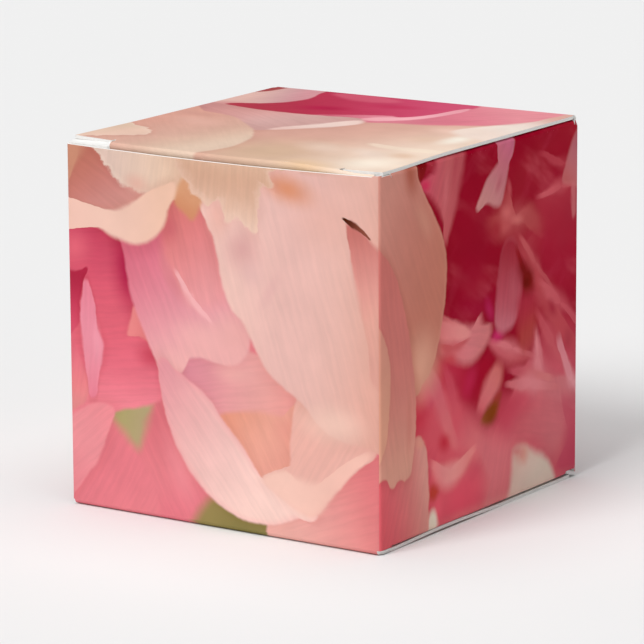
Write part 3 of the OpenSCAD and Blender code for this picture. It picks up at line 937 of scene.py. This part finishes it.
def closure(name, upside_down, art, sheet_turn):
    """A closure panel with its tuck flap."""

    def ease(x, y):
        """How far a made-up closure stands off the true cube, outwards."""
        forward = (HALF - y) / SIDE
        if not upside_down:
            dip = LID_DIP * eased(forward, 0, 1) * math.cos(math.pi * x / SIDE)
            return rise(x) + 0.1 * forward - dip
        arch = math.sin(math.pi * min(1.0, forward / 0.65)) ** 2 * eased(x, 15, 25)
        return BASE_SAG * eased(forward, 0, 0.1) - BASE_ARCH * arch

    def pressed(section, x, bent):
        """A place on a closure, with its front bent by that much, and pressed down at the right."""
        bent -= CORNER_PRESS * eased(x, 10, 19)
        front = 0.0 if upside_down else eased(section.x, -8, -23)
        height = section.y + ease(x, section.x) + bent * front
        return stood(upside_down, x, section.x, height)

    def across(section, x):
        """A place on a fold or the tuck flap: dropped a little beyond the right slit."""
        return pressed(section, x, -CORNER_PRESS * eased(x, SLIT_START, SLIT_START + 1.5))

    def across_panel(section, x):
        """A place on the panel: its free left corner curls up a little."""
        return pressed(section, x, CORNER_CURL * eased(x, -17, -25))

    def print_of(u, v):
        return art

    beyond = 0.0 if upside_down else CREASE_BEYOND
    crease = Line((HALF, SIDE - FOLD - beyond), 90)
    if beyond:
        crease.ahead(beyond).bend(90, FOLD).ahead(beyond)
    else:
        crease.bend(90, FOLD)
    panel = Line(crease.point, 180).ahead(HALF + TUCK_FRONT - FOLD - TUCK_FOLD - beyond)
    tuck_crease = Line(panel.point, 180).bend(90 + TUCK_LEAN, TUCK_FOLD)
    tuck = Line(tuck_crease.point, tuck_crease.heading).ahead(TUCK_DEPTH - tuck_crease.length)
    depth_of = {}
    passed = -crease.length / 2
    for line in (crease, panel, tuck_crease, tuck):
        depth_of[line] = passed
        passed += line.length
    whole = depth_of[tuck_crease] + tuck_crease.length / 2

    def sheet_of(line):
        """The print slips towards the front where the lid stands higher, and so looks in place."""

        def sheet_at(a, b):
            share = (depth_of[line] + a) / whole
            u, v = sheet_turn((b + HALF) / SIDE, share)
            if not upside_down:
                v += LID_SLIP * 100 / SIDE * ease(b, HALF - share * SIDE)
            return u, v

        return sheet_at

    def piece_of(suffix, outline, line, place, columns):
        piece = card_piece(
            f"{name}_{suffix}", outline, line, place, sheet_of(line), print_of, columns)
        return piece

    columns = spaced(-CLOSURE_HALF_W, CLOSURE_HALF_W)
    end = crease.length
    outline = [(0, -CREASE_END), (0, CREASE_END)]
    if beyond:
        widening = [(end - beyond + 0.5, CREASE_END), (end - 0.2, CLOSURE_HALF_W)]
        outline += widening + [(end, CLOSURE_HALF_W), (end, -CLOSURE_HALF_W)]
        outline += [(a, -b) for a, b in reversed(widening)]
    else:
        outline += [(end, CREASE_END), (end, -CREASE_END)]
    piece = piece_of("crease", outline[::-1], crease, across, columns)
    bend_blend(piece, crease, across)

    end = panel.length
    slit = CREASE_HALF_W + 0.15
    outline = []
    for side, set_back in ((-1, 0.6 if upside_down else 0.9), (1, 0.6 if upside_down else 0.1)):
        tab = end - set_back
        half = [
            (0, CLOSURE_HALF_W if beyond else CREASE_END), (0.5, CLOSURE_HALF_W),
            (tab, CLOSURE_HALF_W), (tab, slit + 0.5), (tab - 0.8, slit + 0.5),
            (tab - 0.8, slit + 0.3), (tab, slit), (end, slit),
        ]
        outline += [(a, side * b) for a, b in (half if side < 0 else reversed(half))]
    piece = piece_of("panel_card", outline, panel, across_panel, columns)
    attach(piece, name)
    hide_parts(f"{name}_panel")

    piece = piece_of(
        "tuck_crease", rectangle(tuck_crease, -CREASE_HALF_W, TUCK_FOLD_END), tuck_crease,
        across, spaced(-CREASE_HALF_W, TUCK_FOLD_END))
    bend_blend(piece, tuck_crease, across)

    inset = TUCK_HALF_W - TUCK_CORNER
    outline = [(0, -CREASE_HALF_W), (TUCK_SHOULDER, -CREASE_HALF_W), (TUCK_SHOULDER, -TUCK_HALF_W)]
    outline += arc((tuck.length - TUCK_CORNER, -inset), TUCK_CORNER, -90, 0)
    outline += arc((tuck.length - TUCK_CORNER, inset), TUCK_CORNER, 0, 90)
    outline += [(TUCK_SHOULDER, TUCK_HALF_W), (TUCK_SHOULDER, TUCK_FOLD_END), (0, TUCK_FOLD_END)]
    piece = piece_of("tuck_card", outline, tuck, across, spaced(-TUCK_HALF_W, TUCK_HALF_W))
    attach(piece, f"{name}_tuck")
    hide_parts(f"{name}_tuck_flap")


def stood(upside_down, x, y, z):
    """The base is the lid stood on its head, so that its flap tucks in at the back."""
    return Vector((x, -y, SIDE - z)) if upside_down else Vector((x, y, z))


def dust_flap(name, upside_down, side, sign):
    """A dust flap beside a closure, and its crease; the upper left one shows in the left slit."""
    ear = not upside_down and side == "left"

    def beside(section, y):
        lift = 0.0 if upside_down else rise(sign * section.x)
        if ear:
            lift += EAR_LIFT * eased(y, DUST_FRONT + 4, DUST_FRONT + 1)
            lift -= EAR_LIFT * eased(y, DUST_FRONT - 0.4, DUST_FRONT - 2.4)
        return stood(upside_down, sign * section.x, y, section.y + lift)

    def fold_sheet(a, y):
        height = DUST_CREASE_HIGH + a
        if upside_down:
            return wall_sheet(sign, -y, SIDE - height)
        return wall_sheet(sign, y, height)

    crease = Line((HALF, DUST_TOP - FOLD), 90).bend(90, FOLD)
    dust = Line(crease.point, 180).ahead(DUST_REACH - FOLD)
    rows = spaced(DUST_FRONT, DUST_BACK)
    fold = card_piece(
        f"{name}_dust_crease_{side}", rectangle(crease, DUST_FRONT, DUST_BACK), crease,
        beside, fold_sheet, wall_print, rows)
    bend_blend(fold, crease, beside)
    outline = [(0, DUST_FRONT)]
    if ear:
        tip = DUST_FRONT - 2.4
        outline += [
            (-0.5, DUST_FRONT - 0.6), (-0.5, tip), (EAR_REACH - 1, tip), (EAR_REACH, tip + 1),
            (EAR_REACH, DUST_FRONT),
        ]
        rows = rows + [DUST_FRONT + 0.1, DUST_FRONT - 0.7, DUST_FRONT - 1.5]
    inset = dust.length - DUST_CORNER
    drop = math.tan(math.radians(DUST_TAPER)) * DUST_REACH
    outline += arc((inset, DUST_FRONT + DUST_CORNER), DUST_CORNER, -90, 0)
    outline += arc((inset, DUST_BACK - drop - DUST_CORNER), DUST_CORNER, 0, 90 - DUST_TAPER)
    outline += [(0, DUST_BACK)]
    flap = card_piece(
        f"{name}_dust_card_{side}", outline, dust, beside, unprinted_sheet, unprinted, rows)
    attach(flap, f"{name}_dust_{side}")
    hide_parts(f"{name}_dust_flap_{side}")


walls()
for name, upside_down, art, sheet_turn in (
    ("lid", False, PRINT_LID, lambda x, share: (100 * x, 200 - 100 * share)),
    ("base", True, PRINT_FRONT, lambda x, share: (100 * x, 100 * share)),
):
    closure(name, upside_down, art, sheet_turn)
    for side, sign in (("right", 1), ("left", -1)):
        dust_flap(name, upside_down, side, sign)

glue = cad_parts["glue_line"]
glue.data.materials.clear()
glue.data.materials.append(GLUE)


# ------------------------------------------------------------------ studio
def studio():
    reach = 4.0
    corners = [(-reach, -reach, 0), (reach, -reach, 0), (reach, reach, 0), (-reach, reach, 0)]
    floor_mesh = bpy.data.meshes.new("floor")
    floor_mesh.from_pydata(corners, [], [(0, 1, 2, 3)])
    floor = bpy.data.objects.new("floor", floor_mesh)
    bpy.context.scene.collection.objects.link(floor)
    material, tree, shader = new_material("studio_floor")
    shader.inputs["Base Color"].default_value = (0.76, 0.76, 0.76, 1)
    shader.inputs["Roughness"].default_value = 0.9
    shader.inputs["Specular IOR Level"].default_value = 0.0
    floor_mesh.materials.append(material)
    floor.location.z = -(BASE_SAG + 0.01) * MM

    world = bpy.data.worlds.new("studio")
    world.use_nodes = True
    background = world.node_tree.nodes["Background"]
    background.inputs["Color"].default_value = (1, 1, 1, 1)
    background.inputs["Strength"].default_value = 0.03
    bpy.context.scene.world = world

    for name, azimuth, elevation, strength, spread in (
        ("key", -8, 45, 2.12, 30),
        ("side", 80, 12, 0.45, 40),
        ("overhead", 0, 88, 1.92, 60),
    ):
        level, height = toward(elevation)
        forward, sideways = toward(azimuth)
        lamp = bpy.data.lights.new(name, "SUN")
        lamp.energy = strength
        lamp.angle = math.radians(spread)
        light = bpy.data.objects.new(name, lamp)
        light.rotation_mode = "QUATERNION"
        source = Vector((sideways * level, -forward * level, height))
        light.rotation_quaternion = source.to_track_quat("Z", "Y")
        bpy.context.scene.collection.objects.link(light)


def photo_camera():
    azimuth = math.radians(-33.92)
    elevation = math.radians(12.57)
    roll = math.radians(-0.31)
    level = math.cos(elevation)
    forward = Vector((math.sin(azimuth) * level, math.cos(azimuth) * level, -math.sin(elevation)))
    right = Vector((math.cos(azimuth), -math.sin(azimuth), 0))
    up = right.cross(forward)
    tilted_right = math.cos(roll) * right + math.sin(roll) * up
    tilted_up = math.cos(roll) * up - math.sin(roll) * right
    lens = bpy.data.cameras.new("camera")
    lens.sensor_width = 36
    lens.lens = 245.85
    lens.clip_start = 0.01
    camera = bpy.data.objects.new("camera", lens)
    turn = Matrix((tilted_right, tilted_up, -forward)).transposed()
    camera.matrix_world = Matrix.Translation(Vector((331.5, -494.0, 156.5)) * MM) @ turn.to_4x4()
    bpy.context.scene.collection.objects.link(camera)
    bpy.context.scene.camera = camera


studio()
photo_camera()
scene = bpy.context.scene
scene.view_settings.view_transform = "Standard"
scene.view_settings.look = "None"
